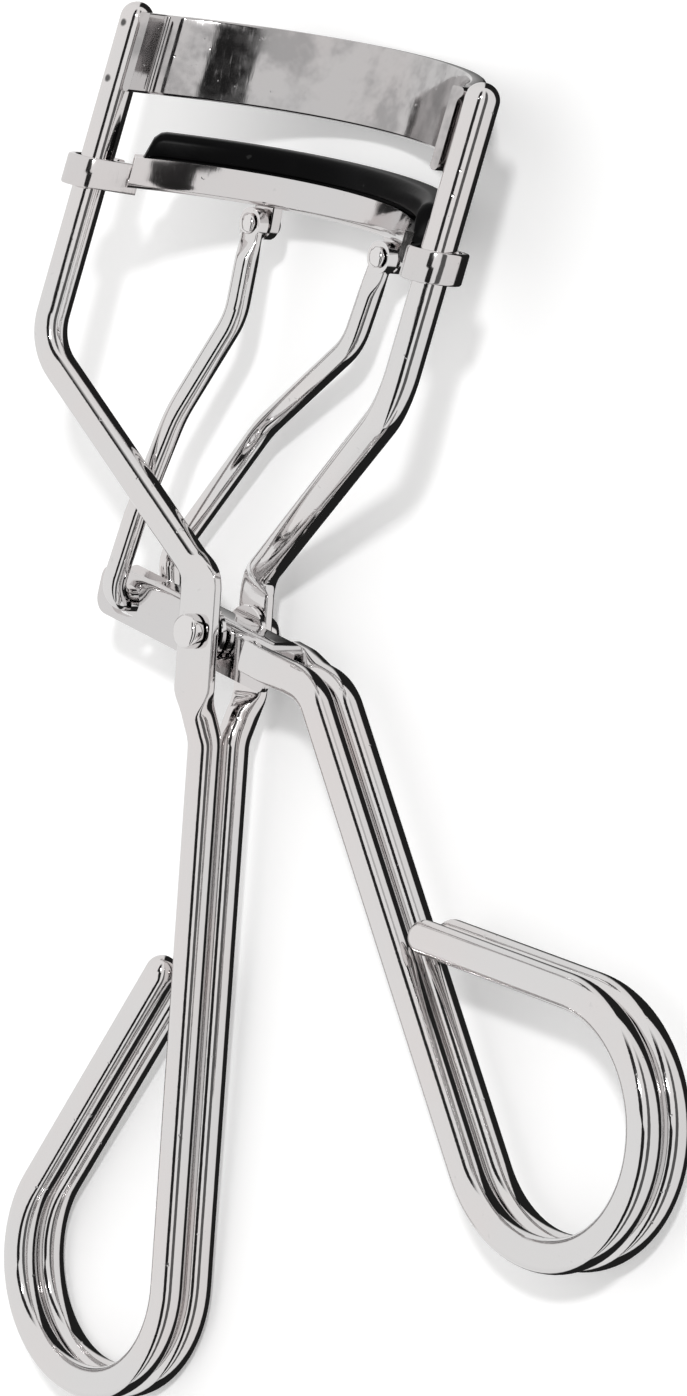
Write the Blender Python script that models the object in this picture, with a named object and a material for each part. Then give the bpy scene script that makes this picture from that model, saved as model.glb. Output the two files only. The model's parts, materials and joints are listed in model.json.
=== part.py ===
"""Eyelash curler: bent-wire frame and lever, sliding lower jaw with a silicone pad, and a pusher wire.

All sizes below are millimetres; the model itself is in metres, +Z up. The curler is designed flat on a
bench: the pivot rivet is the origin, its axis is Z, and +Y points to the jaws. Then it is laid down the
way it rests, on the bulge of the upper jaw and on the ends of the finger loops.
"""

import math

import bmesh
import bpy
from mathutils import Matrix, Vector

MM = 0.001

# Driving dimensions, millimetres ------------------------------------------------------------------------
WIRE_D = 2.4                 # frame and handle wire
PAIR_GAP = 0.15              # between the two wires that run side by side in each handle
FIT_GAP = 0.3                # running or assembly clearance between neighbouring pieces
FACE_GAP = 0.15              # between stacked flat faces at the pivot

GUIDE_SPACING = 37.2         # between the centre lines of the two jaw guides
GUIDE_CENTRE_X = 1.5         # the jaws' centre lies this far to the right of the pivot
GUIDE_TILT = 8.6             # degrees, the guides lean away from the viewer towards their tips
GUIDE_Y = 29.7               # height above the pivot of the ring level on the guides
GUIDE_Z = 4.8                # the guides' depth at the ring level
GUIDE_TIP = 12.5             # from the ring level up to the tip of a guide
LEFT_BEND = -12.8            # from the ring level down to the left leg's bend
RIGHT_BEND = -9.7            # the same on the right leg
BEND_R = 4.5                 # inside the leg's bend, on the centre line

FRONT_EAR_W = 3.8            # flattened part of the frame wires round the rivet
BACK_EAR_W = 3.1
EAR_T = 0.8
EAR_FLAT_UP = 3.4            # the wire is fully flat up to this distance above the pivot
EAR_ROUND_UP = 5.0           # and round again beyond this one
EAR_FLAT_DOWN = 4.0          # the same below the pivot
EAR_ROUND_DOWN = 5.9
EAR_TOP = 3.9                # where a leg leaves its ear, above the pivot
EAR_BOTTOM = -4.4            # where an ear starts to run in to the handle
PAIR_TOP = -7.6              # where the two wires of the left handle are together

LEFT_HANDLE_ANGLE = 8.5      # degrees from straight down, towards +X
LEFT_LOOP_AT = 46.8          # along the handle from the pivot to the finger loop's centre
LEFT_LOOP_END = 24.2         # along the handle to where the loop's end meets the handle
RIGHT_HANDLE_ANGLE = 40.3
RIGHT_LOOP_AT = 35.9         # along the handle from the lever's knee
RIGHT_LOOP_END = 19.8
LEFT_LOOP_R = 8.5            # finger loops, centre line
RIGHT_LOOP_R = 8.8

CHANNEL_W = 2.9              # outside width of the lever channel
CHANNEL_T = 0.6              # its sheet
CHANNEL_ANGLE = -4.5         # degrees, its run from left to right drops
CHANNEL_LEFT = -13.0
CHANNEL_RIGHT = 6.6
WEB_LEFT = -8.2              # the web starts here, and left of it the two cheeks stand free
CHANNEL_TOP = 1.25
CHANNEL_BOTTOM = -2.45
KNEE_X = 11.46               # corner of the lever wires, from the pivot
KNEE_Y = -1.4
LEVER_WIRE_START = 5.0       # flattened ends of the lever wires on the cheeks
LEVER_FLAT_T = 1.0
LEVER_FLAT_W = 2.3
LEVER_FLAT_END = 7.2         # the lever wires are round from here
LEVER_PAIR_X = 9.2           # and side by side from here

RIVET_D = 1.7
RIVET_HEAD_D = 2.5
RIVET_HEAD_H = 1.0
RIVET_FIT = 0.2              # radial clearance of the rivet in its holes
WASHER_D = 4.0
WASHER_T = 0.45

STRIP_T = 0.8                # upper jaw strip
STRIP_BOTTOM = 6.8           # from the ring level, along the guides
STRIP_TOP = 12.6
LIP_H = 0.7                  # rolled rim along the strip's top
LIP_T = 1.5
JAW_SAGITTA = 9.0            # how far the jaws bulge away from the viewer
JAW_END_DROP = 0.65          # and how much lower their ends are than their middle
JAW_END_IN = 2.0             # the arc's ends lie this far inside the guides' centre lines
TAB_FRONT = 0.9              # the tab reaches this far in front of the guide's centre line
TAB_BACK = 0.9

RAIL_W = 3.0                 # lower jaw channel, across
RAIL_H = 2.3
RAIL_T = 0.6
PAD_FIT = 0.12
PAD_RISE = 1.9               # the pad stands this far above the rail
PAD_END_INSET = 0.6          # along the arc, from the rail's end
RAIL_END_IN = 2.7            # the rail's ends lie this far inside the guides' centre lines
RING_WALL = 0.6
RING_H = 2.2

PUSHER_D = 1.7
PUSHER_ARM = 9.9             # lever arm from the pivot to the pusher's cross wire
PUSHER_BEND_R = 1.5
PUSHER_SIDE_GAP = 0.65       # beside the lever's cheeks, for the slide's small drift along Z
EYE_D = 2.3
EYE_T = 0.8
LUG_T = 0.9
LUG_W = 2.1
LUG_DROP = 1.3               # pin centre below the rail
LEFT_LUG_X = -7.5            # from the jaws' centre
RIGHT_LUG_X = 5.9
LUG_PIN_D = 0.9
LUG_PIN_HEAD_D = 1.5
LUG_PIN_HEAD_H = 0.35
LUG_PIN_FIT = 0.2
SLOT_PLAY = 0.5              # extra half length of the cross wire's slots

WIRE_SIDES = 12
ARC_STEP = math.radians(15)

# Sizes that follow from them ----------------------------------------------------------------------------
WIRE_R = WIRE_D / 2
PAIR_Z = (WIRE_D + PAIR_GAP) / 2
EAR_Z = CHANNEL_W / 2 + FACE_GAP + WASHER_T + FACE_GAP + EAR_T / 2
LEVER_FLAT_Z = CHANNEL_W / 2 + FACE_GAP + LEVER_FLAT_T / 2
GUIDE_R = WIRE_R
RING_R = GUIDE_R + FIT_GAP + RING_WALL
TILT = math.radians(GUIDE_TILT)
GUIDE_DIR = Vector((0, math.cos(TILT), -math.sin(TILT)))
JAW_HALF_CHORD = GUIDE_SPACING / 2 - JAW_END_IN
RAIL_HALF_CHORD = GUIDE_SPACING / 2 - RAIL_END_IN
ARC_R = (JAW_HALF_CHORD ** 2 + JAW_SAGITTA ** 2) / (2 * JAW_SAGITTA)
ARC_HALF = math.asin(JAW_HALF_CHORD / ARC_R)
PUSHER_R = PUSHER_D / 2
PUSHER_Z = CHANNEL_W / 2 + PUSHER_SIDE_GAP + PUSHER_R
TAB_X = GUIDE_SPACING / 2 - GUIDE_R - FIT_GAP - STRIP_T / 2


# Materials ----------------------------------------------------------------------------------------------
def material(name, colour, roughness, metallic):
    mat = bpy.data.materials.new(name)
    mat.use_nodes = True
    shader = mat.node_tree.nodes["Principled BSDF"]
    shader.inputs["Base Color"].default_value = (*colour, 1)
    shader.inputs["Roughness"].default_value = roughness
    shader.inputs["Metallic"].default_value = metallic
    return mat


# Mesh helpers -------------------------------------------------------------------------------------------
def new_object(name, mesh, mat=None):
    obj = bpy.data.objects.new(name, mesh)
    bpy.context.scene.collection.objects.link(obj)
    if mat:
        obj.data.materials.append(mat)
    return obj


def mesh_from(name, points, faces):
    """A closed mesh from points in millimetres, with its faces turned outwards."""
    mesh = bpy.data.meshes.new(name)
    bm = bmesh.new()
    verts = [bm.verts.new(Vector(p) * MM) for p in points]
    for face in faces:
        bm.faces.new([verts[i] for i in face])
    bmesh.ops.recalc_face_normals(bm, faces=bm.faces[:])
    bm.to_mesh(mesh)
    bm.free()
    return mesh


def loft(name, rings, closed_ends=True):
    """A solid through equal rings of points."""
    count = len(rings[0])
    points = [p for ring in rings for p in ring]
    faces = []
    for i in range(len(rings) - 1):
        a, b = i * count, (i + 1) * count
        for k in range(count):
            n = (k + 1) % count
            faces.append((a + k, a + n, b + n, b + k))
    if closed_ends:
        faces.append(tuple(range(count)))
        last = (len(rings) - 1) * count
        faces.append(tuple(last + k for k in range(count)))
    return mesh_from(name, points, faces)


def filleted(points, radii):
    """A path of straight runs with round corners. radii has one entry for each inner point."""
    points = [Vector(p) for p in points]
    path = [points[0]]
    for i, radius in enumerate(radii, start=1):
        before = (points[i - 1] - points[i]).normalized()
        after = (points[i + 1] - points[i]).normalized()
        turn = math.pi - before.angle(after)
        if turn < math.radians(1):
            path.append(points[i])
            continue
        reach = radius * math.tan(turn / 2)
        centre = points[i] + (before + after).normalized() * (radius / math.cos(turn / 2))
        spoke = points[i] + before * reach - centre
        axis = spoke.cross(before * -1)
        steps = max(2, math.ceil(turn / ARC_STEP))
        for k in range(steps + 1):
            path.append(centre + Matrix.Rotation(turn * k / steps, 3, axis) @ spoke)
    path.append(points[-1])
    return path


def tangents(path):
    out = []
    for i in range(len(path)):
        a = path[max(0, i - 1)]
        b = path[min(len(path) - 1, i + 1)]
        out.append((b - a).normalized())
    return out


def flat_normals(path):
    """Each section's thickness axis, kept as near to Z as the path allows."""
    out = []
    for t in tangents(path):
        out.append((Vector((0, 0, 1)) - t * t.z).normalized())
    return out


def carried_normals(path):
    """Thickness axes that turn with the path, near Z at both of its ends."""
    ts = tangents(path)
    normals = [flat_normals(path)[0]]
    for a, b in zip(ts, ts[1:]):
        normals.append((a.rotation_difference(b) @ normals[-1]).normalized())
    goal = flat_normals(path)[-1]
    twist = math.atan2(ts[-1].dot(normals[-1].cross(goal)), normals[-1].dot(goal))
    if twist > math.pi / 2:
        twist -= math.pi
    if twist < -math.pi / 2:
        twist += math.pi
    last = len(path) - 1
    return [Matrix.Rotation(twist * i / last, 3, t) @ n for i, (t, n) in enumerate(zip(ts, normals))]


def section(width, thickness, squareness, sides):
    """Points of a rounded section: squareness 1 is an ellipse, 0.4 is close to a rectangle."""
    out = []
    for k in range(sides):
        a = 2 * math.pi * (k + 0.5) / sides
        x = math.copysign(abs(math.cos(a)) ** squareness, math.cos(a)) * width / 2
        z = math.copysign(abs(math.sin(a)) ** squareness, math.sin(a)) * thickness / 2
        out.append((x, z))
    return out


def sweep(name, path, normals, sizes, end_caps=(True, True), sides=WIRE_SIDES):
    """A wire along a path. sizes gives width, thickness and squareness at each point of it."""
    ts = tangents(path)
    rings = []
    for p, t, n, (width, thickness, squareness) in zip(path, ts, normals, sizes):
        side = t.cross(n)
        rings.append([p + side * x + n * z for x, z in section(width, thickness, squareness, sides)])

    def dome(ring, centre, outward, width):
        grown = []
        for lift, shrink in ((0.55, 0.83), (0.9, 0.45)):
            grown.append([centre + (q - centre) * shrink + outward * (lift * width / 2) for q in ring])
        return grown

    if end_caps[0]:
        first = dome(rings[0], path[0], -ts[0], sizes[0][1])
        rings = first[::-1] + rings
    if end_caps[1]:
        rings = rings + dome(rings[-1], path[-1], ts[-1], sizes[-1][1])
    return loft(name, rings)


def prism(name, outline, z_low, z_high):
    low = [Vector((x, y, z_low)) for x, y in outline]
    high = [Vector((x, y, z_high)) for x, y in outline]
    return loft(name, [low, high])


def cylinder(name, centre, axis, radius, length, sides=24):
    axis = Vector(axis).normalized()
    across = axis.orthogonal().normalized()
    rings = []
    for end in (-0.5, 0.5):
        middle = Vector(centre) + axis * (end * length)
        rings.append([middle + Matrix.Rotation(2 * math.pi * k / sides, 3, axis) @ across * radius
                      for k in range(sides)])
    return loft(name, rings)


def turned(name, profile, centre, sides=24):
    """A solid of revolution about Z through centre, from (radius, z) pairs running top to bottom."""
    rings = []
    for radius, z in profile:
        rings.append([Vector(centre) + Vector((radius * math.cos(2 * math.pi * k / sides),
                                               radius * math.sin(2 * math.pi * k / sides), z))
                      for k in range(sides)])
    return loft(name, rings)


def combine(obj, operation, *meshes):
    """Cuts meshes from an object, or joins them to it."""
    for k, mesh in enumerate(meshes):
        tool = new_object(f"{obj.name}_{operation.lower()}_{k}", mesh)
        tool.hide_render = True
        tool.display_type = "WIRE"
        mod = obj.modifiers.new(tool.name, "BOOLEAN")
        mod.operation = operation
        mod.solver = "EXACT"
        mod.object = tool
    return obj


def blend(a, b, t):
    t = min(1, max(0, t))
    t = t * t * (3 - 2 * t)
    return a + (b - a) * t


# Shared geometry ----------------------------------------------------------------------------------------
def on_guide(side, along):
    """A point on a guide's centre line, measured up from the ring level. side is -1 left, 1 right."""
    base = Vector((GUIDE_CENTRE_X + side * GUIDE_SPACING / 2, GUIDE_Y, GUIDE_Z))
    return base + GUIDE_DIR * along


def jaw_middle(along):
    """The point midway between the guides."""
    return (on_guide(-1, along) + on_guide(1, along)) / 2


def arc_point(angle, along, out=0.0):
    """A point on the jaws' arc: angle from its middle, height along the guides, distance outwards."""
    radius = ARC_R + out
    end_z = ARC_R * math.cos(ARC_HALF)
    lower = JAW_END_DROP * (1 - (ARC_R * math.cos(angle) - end_z) / JAW_SAGITTA)
    return jaw_middle(along) + Vector((radius * math.sin(angle), -lower, end_z - radius * math.cos(angle)))


def arc_angle(x):
    return math.asin(x / ARC_R)


def handle_path(start, angle, out_sign, loop_r, loop_at, loop_end, z):
    """Straight handle, round finger loop and the run back to the handle's flank."""
    a = math.radians(angle)
    down = Vector((math.sin(a), -math.cos(a), 0))
    out = Vector((math.cos(a), math.sin(a), 0)) * out_sign
    centre = start + down * loop_at + out * loop_r
    centre.z = z
    flank = WIRE_D + FIT_GAP
    reach = loop_at - loop_end
    rise = loop_r - flank
    slope = math.atan2(rise, reach) + math.asin(loop_r / math.hypot(reach, rise))
    sweep_angle = math.pi + slope
    steps = math.ceil(sweep_angle / ARC_STEP)
    path = []
    for k in range(steps + 1):
        t = sweep_angle * k / steps
        path.append(centre - out * (loop_r * math.cos(t)) + down * (loop_r * math.sin(t)))
    end = start + down * loop_end + out * flank
    end.z = z
    last = path[-1]
    towards = (end - last).normalized()
    path.append(end - towards * 0.5)
    return path


def left_handle_point(y, z):
    return Vector((-y * math.tan(math.radians(LEFT_HANDLE_ANGLE)), y, z))


# Frame --------------------------------------------------------------------------------------------------
def frame_wire(name, side, depth_sign, bend, ear_w, mat):
    """One frame wire: guide, leg, flattened ear, handle and finger loop."""
    pair_z = depth_sign * PAIR_Z
    ear_z = depth_sign * EAR_Z
    corners = [
        on_guide(side, GUIDE_TIP - WIRE_R),
        on_guide(side, bend),
        left_handle_point(EAR_TOP, ear_z),
        left_handle_point(EAR_BOTTOM, ear_z),
        left_handle_point(PAIR_TOP, pair_z),
    ]
    loop = handle_path(Vector((0, 0, 0)), LEFT_HANDLE_ANGLE, -1, LEFT_LOOP_R, LEFT_LOOP_AT, LEFT_LOOP_END,
                       pair_z)
    path = filleted(corners + [loop[0]], [BEND_R, 2.6, 2.0, 3.0])
    knots = []
    for a, b in zip(path, path[1:]):
        knots.append(a)
        near = min(a.xy.length, b.xy.length) < EAR_ROUND_DOWN + 1
        pieces = max(1, math.ceil((b - a).length / 0.9)) if near else 1
        knots += [a.lerp(b, k / pieces) for k in range(1, pieces)]
    path = knots + loop
    sizes = []
    for p in path:
        flat, round_again = (EAR_FLAT_UP, EAR_ROUND_UP) if p.y > 0 else (EAR_FLAT_DOWN, EAR_ROUND_DOWN)
        t = (p.xy.length - flat) / (round_again - flat)
        sizes.append((blend(ear_w, WIRE_D, t), blend(EAR_T, WIRE_D, t), blend(0.35, 1, t)))
    obj = new_object(name, sweep(name, path, flat_normals(path), sizes), mat)
    hole = cylinder(name + "_hole", (0, 0, ear_z), (0, 0, 1), RIVET_D / 2 + RIVET_FIT, EAR_T * 4)
    return combine(obj, "DIFFERENCE", hole)


def jaw_strip(mat):
    """Upper jaw: a curved strip with a rim, ending in tabs along the guides' inner sides."""
    stations = []
    for side in (-1, 1):
        x = GUIDE_CENTRE_X + side * TAB_X
        level = on_guide(side, 0).z
        leg = []
        for dz in (TAB_FRONT, TAB_FRONT / 2, 0, -TAB_BACK):
            leg.append((Vector((x, GUIDE_Y - JAW_END_DROP, level + dz)), Vector((side, 0, 0))))
        stations.append(leg)
    arc = []
    steps = 20
    tab_angle = arc_angle(TAB_X - 1.1)
    for k in range(steps + 1):
        a = tab_angle * (2 * k / steps - 1)
        arc.append((arc_point(a, 0), Vector((math.sin(a), 0, -math.cos(a)))))
    line = stations[0] + arc + stations[1][::-1]
    half, lip = STRIP_T / 2, LIP_T / 2
    profile = [(-half, STRIP_BOTTOM), (half, STRIP_BOTTOM), (half, STRIP_TOP - LIP_H),
               (lip, STRIP_TOP - LIP_H * 0.7), (lip, STRIP_TOP - LIP_H * 0.3), (half, STRIP_TOP),
               (-half, STRIP_TOP)]
    rings = [[p + n * a + GUIDE_DIR * v for a, v in profile] for p, n in line]
    return new_object("upper_jaw", loft("upper_jaw", rings), mat)


def rivet(name, mat):
    shaft, head = RIVET_D / 2, RIVET_HEAD_D / 2
    face = EAR_Z + EAR_T / 2 + FACE_GAP
    top = face + RIVET_HEAD_H
    profile = [(head * 0.55, top), (head * 0.9, top - 0.2), (head, top - 0.5), (head, face),
               (shaft, face), (shaft, -face), (head, -face), (head, 0.5 - top), (head * 0.9, 0.2 - top),
               (head * 0.55, -top)]
    return new_object(name, turned(name, profile, (0, 0, 0)), mat)


def washer(name, sign, mat):
    z = sign * (CHANNEL_W / 2 + FACE_GAP + WASHER_T / 2)
    obj = new_object(name, cylinder(name, (0, 0, z), (0, 0, 1), WASHER_D / 2, WASHER_T), mat)
    hole = cylinder(name + "_hole", (0, 0, z), (0, 0, 1), RIVET_D / 2 + RIVET_FIT, WASHER_T * 4)
    return combine(obj, "DIFFERENCE", hole)


# Lever --------------------------------------------------------------------------------------------------
def turn_channel(x, y):
    a = math.radians(CHANNEL_ANGLE)
    return (x * math.cos(a) - y * math.sin(a), x * math.sin(a) + y * math.cos(a))


def lever_channel(mat):
    """U channel: two cheeks and a web along the top, with the rivet hole and the cross wire's slots."""
    corner = 0.6
    outline = [(CHANNEL_LEFT, CHANNEL_BOTTOM + corner), (CHANNEL_LEFT + corner, CHANNEL_BOTTOM),
               (CHANNEL_RIGHT, CHANNEL_BOTTOM), (CHANNEL_RIGHT, CHANNEL_TOP),
               (CHANNEL_LEFT + 2 * corner, CHANNEL_TOP), (CHANNEL_LEFT, CHANNEL_TOP - 2 * corner)]
    half = CHANNEL_W / 2
    body = prism("lever_channel", [turn_channel(*p) for p in outline], -half, half)
    obj = new_object("lever_channel", body, mat)
    inner = half - CHANNEL_T
    ceiling = CHANNEL_TOP - CHANNEL_T
    trough = [(CHANNEL_LEFT - 1, CHANNEL_BOTTOM - 1), (CHANNEL_RIGHT + 1, CHANNEL_BOTTOM - 1),
              (CHANNEL_RIGHT + 1, ceiling), (WEB_LEFT, ceiling), (WEB_LEFT, CHANNEL_TOP + 1),
              (CHANNEL_LEFT - 1, CHANNEL_TOP + 1)]
    slot_r = PUSHER_R + FIT_GAP
    slot = []
    for k in range(12):
        a = math.pi * (k + 0.5) / 12 - math.pi / 2
        slot.append((-PUSHER_ARM + SLOT_PLAY + slot_r * math.cos(a), slot_r * math.sin(a)))
    for k in range(12):
        a = math.pi * (k + 0.5) / 12 + math.pi / 2
        slot.append((-PUSHER_ARM - SLOT_PLAY + slot_r * math.cos(a), slot_r * math.sin(a)))
    combine(obj, "DIFFERENCE",
            prism("trough", [turn_channel(*p) for p in trough], -inner, inner),
            prism("slots", slot, -half - 1, half + 1),
            cylinder("rivet_hole", (0, 0, 0), (0, 0, 1), RIVET_D / 2 + RIVET_FIT, CHANNEL_W + 2))
    return obj


def lever_wire(name, depth_sign, mat):
    """One handle wire of the lever: flattened end on the cheek, knee, handle and finger loop."""
    flat_z = depth_sign * LEVER_FLAT_Z
    pair_z = depth_sign * PAIR_Z
    slope = KNEE_Y / KNEE_X
    drop = slope * 0.9
    loop = handle_path(Vector((KNEE_X, KNEE_Y, 0)), RIGHT_HANDLE_ANGLE, 1, RIGHT_LOOP_R, RIGHT_LOOP_AT,
                       RIGHT_LOOP_END, pair_z)
    corners = [
        Vector((LEVER_WIRE_START, LEVER_WIRE_START * drop, flat_z)),
        Vector((CHANNEL_RIGHT, CHANNEL_RIGHT * drop, flat_z)),
        Vector((LEVER_PAIR_X, LEVER_PAIR_X * slope, pair_z)),
        Vector((KNEE_X, KNEE_Y, pair_z)),
        loop[0],
    ]
    path = filleted(corners, [2.0, 1.2, 3.6])
    dense = [path[0]]
    for a, b in zip(path, path[1:]):
        pieces = max(1, math.ceil((b - a).length / 0.8)) if a.x < KNEE_X else 1
        dense += [a.lerp(b, k / pieces) for k in range(1, pieces + 1)]
    path = dense[:-1] + loop
    sizes = []
    for p in path:
        t = (p.x - CHANNEL_RIGHT + 0.8) / (LEVER_FLAT_END + 1.4 - CHANNEL_RIGHT + 0.8)
        sizes.append((blend(LEVER_FLAT_W, WIRE_D, t), blend(LEVER_FLAT_T, WIRE_D, t), blend(0.35, 1, t)))
    return new_object(name, sweep(name, path, flat_normals(path), sizes, end_caps=(False, True)), mat)


# Lower jaw ----------------------------------------------------------------------------------------------
def arc_rings(profile, half_angle, steps):
    """Rings of a profile (outwards, along the guides) carried round the jaws' arc."""
    rings = []
    for k in range(steps + 1):
        a = half_angle * (2 * k / steps - 1)
        rings.append([arc_point(a, v, out) for out, v in profile])
    return rings


def lug_centre(x):
    return arc_point(arc_angle(x), -LUG_DROP)


def lower_jaw(mat):
    half = RAIL_W / 2
    inner = half - RAIL_T
    profile = [(-half, 0.5), (-half + 0.5, 0), (half - 0.5, 0), (half, 0.5), (half, RAIL_H), (inner, RAIL_H),
               (inner, RAIL_T), (-inner, RAIL_T), (-inner, RAIL_H), (-half, RAIL_H)]
    rail = loft("lower_jaw", arc_rings(profile, arc_angle(RAIL_HALF_CHORD), 24))
    obj = new_object("lower_jaw", rail, mat)
    joins = []
    for side in (-1, 1):
        joins.append(cylinder("ring", on_guide(side, 0), GUIDE_DIR, RING_R, RING_H))
        joins.append(ring_arm(side))
    for x in (LEFT_LUG_X, RIGHT_LUG_X):
        joins.append(lug(x))
    combine(obj, "UNION", *joins)
    cuts = []
    for side in (-1, 1):
        cuts.append(cylinder("bore", on_guide(side, 0), GUIDE_DIR, GUIDE_R + FIT_GAP, RING_H * 4))
    for x in (LEFT_LUG_X, RIGHT_LUG_X):
        hole_r = LUG_PIN_D / 2 + LUG_PIN_FIT
        cuts.append(cylinder("lug_hole", lug_centre(x), (0, 0, 1), hole_r, LUG_T * 6, 16))
    return combine(obj, "DIFFERENCE", *cuts)


def ring_arm(side):
    """The short arm between the end of the rail and its ring."""
    end = side * arc_angle(RAIL_HALF_CHORD)
    inside = arc_point(end - side * 0.06, 0)
    guide = on_guide(side, 0)
    across = Vector((-side * (guide.z - inside.z), 0, side * (guide.x - inside.x))).normalized() * 0.7
    low, high = -RING_H / 2 + 0.1, RAIL_T - 0.05
    near = [inside - across + GUIDE_DIR * low, inside + across + GUIDE_DIR * low,
            inside + across + GUIDE_DIR * high, inside - across + GUIDE_DIR * high]
    far = [p + (guide - inside) for p in near]
    return loft("arm", [near, far])


def lug(x):
    """A plate below the rail with a round lower end."""
    centre = lug_centre(x)
    outline = [(LUG_W / 2, LUG_DROP + RAIL_T / 2), (-LUG_W / 2, LUG_DROP + RAIL_T / 2)]
    for k in range(9):
        a = math.pi + math.pi * k / 8
        outline.append((LUG_W / 2 * math.cos(a), LUG_W / 2 * math.sin(a)))
    flat = [(centre.x + u, centre.y + v) for u, v in outline]
    return prism("lug", flat, centre.z - LUG_T / 2, centre.z + LUG_T / 2)


def pad(mat):
    half = RAIL_W / 2 - RAIL_T - PAD_FIT
    low = RAIL_T + PAD_FIT
    top = RAIL_H + PAD_RISE
    head = RAIL_W / 2 - 0.25
    profile = [(-half, low), (half, low), (half, RAIL_H + PAD_FIT), (head, RAIL_H + PAD_FIT + 0.2),
               (head, top - 0.6), (head - 0.5, top), (0.5 - head, top), (-head, top - 0.6),
               (-head, RAIL_H + PAD_FIT + 0.2), (-half, RAIL_H + PAD_FIT)]
    end = arc_angle(RAIL_HALF_CHORD) - PAD_END_INSET / ARC_R
    return new_object("silicone_pad", loft("silicone_pad", arc_rings(profile, end, 22)), mat)


def lug_pin(name, x, mat):
    """Pin through a lug and the pusher's eye in front of it, with a small head at each end."""
    shaft, head = LUG_PIN_D / 2, LUG_PIN_HEAD_D / 2
    back = -LUG_T / 2 - FACE_GAP
    front = LUG_T / 2 + FIT_GAP + EYE_T + FACE_GAP
    profile = [(head, front + LUG_PIN_HEAD_H), (head, front), (shaft, front), (shaft, back), (head, back),
               (head, back - LUG_PIN_HEAD_H)]
    return new_object(name, turned(name, profile, lug_centre(x), sides=16), mat)


# Pusher -------------------------------------------------------------------------------------------------
def pusher_wire(mat):
    """One wire: left eye, left rod, cross wire through the lever's slots, right rod, right eye."""
    eyes = []
    for x in (LEFT_LUG_X, RIGHT_LUG_X):
        eyes.append(lug_centre(x) + Vector((0, 0, LUG_T / 2 + FIT_GAP + EYE_T / 2)))
    left, right = eyes
    arm = -PUSHER_ARM
    points = [
        left,
        Vector((left.x + 1.0, left.y - 6.6, left.z + 1.1)),
        Vector((arm + 1.6, 14.0, 0.9)),
        Vector((arm + 0.6, 6.5, 2.2)),
        Vector((arm, 0, PUSHER_Z)),
        Vector((arm, 0, -PUSHER_Z)),
        Vector((arm - 1.0, 3.0, -PUSHER_Z)),
        Vector((arm + 6.9, 14.3, -PUSHER_Z)),
        Vector((right.x - 1.6, right.y - 6.4, right.z - 0.1)),
        right,
    ]
    path = filleted(points, [4.0, 8.0, 8.0, PUSHER_BEND_R, PUSHER_BEND_R, 1.6, 8.0, 4.0])
    dense = [path[0]]
    for a, b in zip(path, path[1:]):
        close = min((p - eye).length for p in (a, b) for eye in eyes) < 4
        pieces = max(1, math.ceil((b - a).length / 0.9)) if close else 1
        dense += [a.lerp(b, k / pieces) for k in range(1, pieces + 1)]
    path = dense
    sizes = []
    for p in path:
        t = (min((p - eye).length for eye in eyes) - 1.6) / 2.4
        sizes.append((blend(EYE_D * 0.8, PUSHER_D, t), blend(EYE_T, PUSHER_D, t), blend(0.5, 1, t)))
    body = sweep("pusher_wire", path, carried_normals(path), sizes, end_caps=(False, False))
    obj = new_object("pusher_wire", body, mat)
    combine(obj, "UNION", *[cylinder("eye", eye, (0, 0, 1), EYE_D / 2, EYE_T) for eye in eyes])
    return combine(obj, "DIFFERENCE", *[
        cylinder("eye_hole", eye, (0, 0, 1), LUG_PIN_D / 2 + LUG_PIN_FIT, EYE_T * 4, 16) for eye in eyes])


# Resting pose -------------------------------------------------------------------------------------------
def resting_turn():
    """Pitches the curler so that the upper jaw's bulge and the left finger loop's end lie on one level."""
    jaw = arc_point(0, STRIP_TOP - LIP_H / 2, LIP_T / 2)
    a = math.radians(LEFT_HANDLE_ANGLE)
    loop_y = -LEFT_LOOP_AT * math.cos(a) - LEFT_LOOP_R * math.sin(a)
    loop_z = -PAIR_Z - WIRE_R
    return Matrix.Rotation(-math.atan2(jaw.z - loop_z, jaw.y - loop_y), 4, "X")


def settle(rest):
    """Moves the resting pose's empty so that the whole part stands on Z = 0, centred on the origin."""
    bpy.context.view_layer.update()
    graph = bpy.context.evaluated_depsgraph_get()
    corners = []
    for obj in rest.children:
        if not obj.hide_render:
            shape = obj.evaluated_get(graph)
            corners += [shape.matrix_world @ v.co for v in shape.data.vertices]
    low = [min(c[i] for c in corners) for i in range(3)]
    high = [max(c[i] for c in corners) for i in range(3)]
    rest.location = rest.location - Vector(((low[0] + high[0]) / 2, (low[1] + high[1]) / 2, low[2]))


def main():
    for obj in list(bpy.data.objects):
        bpy.data.objects.remove(obj, do_unlink=True)
    chrome = material("chrome", (0.78, 0.77, 0.77), 0.08, 1.0)
    bright = material("bright_rivet", (0.83, 0.82, 0.82), 0.06, 1.0)
    silicone = material("black_silicone", (0.012, 0.012, 0.013), 0.42, 0.0)

    rest = bpy.data.objects.new("resting_pose", None)
    bpy.context.scene.collection.objects.link(rest)

    frame_wire("frame_wire_front", -1, 1, LEFT_BEND, FRONT_EAR_W, chrome)
    frame_wire("frame_wire_back", 1, -1, RIGHT_BEND, BACK_EAR_W, chrome)
    jaw_strip(chrome)
    rivet("pivot_rivet", bright)
    washer("pivot_washer_front", 1, bright)
    washer("pivot_washer_back", -1, bright)
    lever_channel(chrome)
    lever_wire("lever_wire_front", 1, chrome)
    lever_wire("lever_wire_back", -1, chrome)
    lower_jaw(chrome)
    pad(silicone)
    lug_pin("jaw_pin_left", LEFT_LUG_X, bright)
    lug_pin("jaw_pin_right", RIGHT_LUG_X, bright)
    pusher_wire(chrome)

    rest.rotation_euler = resting_turn().to_euler()
    for obj in bpy.data.objects:
        if obj is not rest:
            obj.parent = rest
        if obj.type == "MESH":
            obj.data.shade_smooth()
            obj.data.set_sharp_from_angle(angle=math.radians(35))
    settle(rest)


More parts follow.
